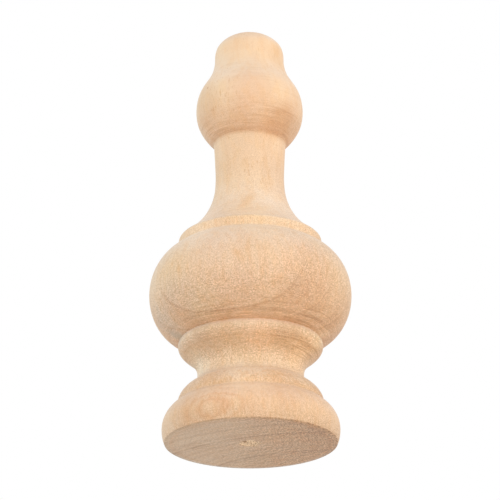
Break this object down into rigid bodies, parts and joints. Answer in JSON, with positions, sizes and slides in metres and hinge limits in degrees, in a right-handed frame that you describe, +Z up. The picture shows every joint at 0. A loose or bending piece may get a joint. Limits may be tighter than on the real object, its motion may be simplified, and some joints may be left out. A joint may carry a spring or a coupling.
{
  "type": "turned wooden baluster finial",
  "caption": "Lathe-turned raw wood finial of baluster form, with a flat foot, a round belly, a slim flared neck and a bulb that ends in a small rounded knob.",
  "frame": {"origin": "centre of the flat foot face that the finial stands on", "axes": "+Z up along the turning axis, from the foot to the knob; +X and +Y are any two directions across it"},
  "size_m": [0.0508, 0.0508, 0.1116],
  "materials": {
    "raw_wood": "bare sanded pale hardwood, matte, with fine grain and light tool rings"
  },
  "bodies": {
    "root": {"finial": "raw_wood"}
  },
  "joints": []
}
